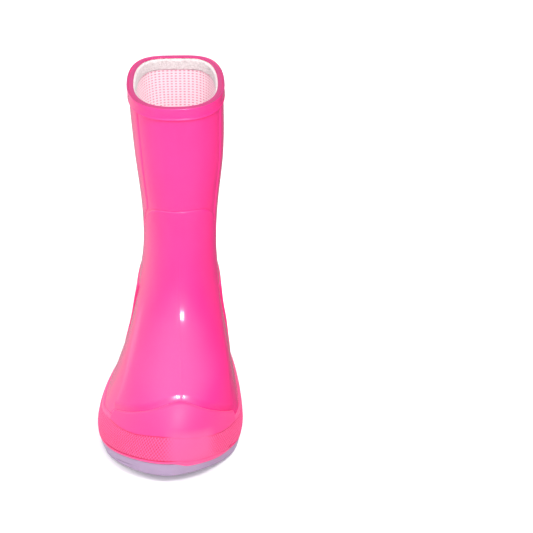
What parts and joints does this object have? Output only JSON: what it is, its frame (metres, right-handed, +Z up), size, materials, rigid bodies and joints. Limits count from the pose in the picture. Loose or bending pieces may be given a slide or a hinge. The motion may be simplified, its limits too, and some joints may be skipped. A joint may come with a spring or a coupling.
{
  "type": "rubber rain boot",
  "caption": "Child's mid-calf rubber rain boot for the right foot: glossy pink upper with rim band, shin panel, wavy toe cap, textured foxing, lilac sole and knit lining.",
  "frame": {"origin": "on the floor under the middle of the boot's bounding box", "axes": "+Z up out of the leg opening, -Y toward the toe, +X toward the inner side of the right foot"},
  "size_m": [0.0826, 0.1871, 0.19],
  "materials": {
    "pink_rubber": "high gloss",
    "satin_pink_rubber": "satin",
    "lilac_rubber": "matte",
    "fibre_board": "matte",
    "knit_lining": "matte knit",
    "felt_tape": "fuzzy felt",
    "foam": "matte foam"
  },
  "bodies": {
    "root": {"upper_shell": "pink_rubber", "shin_panel": "pink_rubber", "back_stay": "pink_rubber", "heel_counter": "pink_rubber", "toe_cap": "satin_pink_rubber", "collar_band": "pink_rubber", "foxing_band": "satin_pink_rubber", "foxing_bead": "satin_pink_rubber", "toe_bumper": "satin_pink_rubber", "midsole": "lilac_rubber", "forefoot_tread": "lilac_rubber", "heel_tread": "lilac_rubber", "insole_board": "fibre_board", "lining_foot": "knit_lining", "lining_leg": "knit_lining", "lining_edge_tape": "felt_tape", "footbed_foam": "foam", "footbed_cover": "knit_lining"}
  },
  "joints": []
}
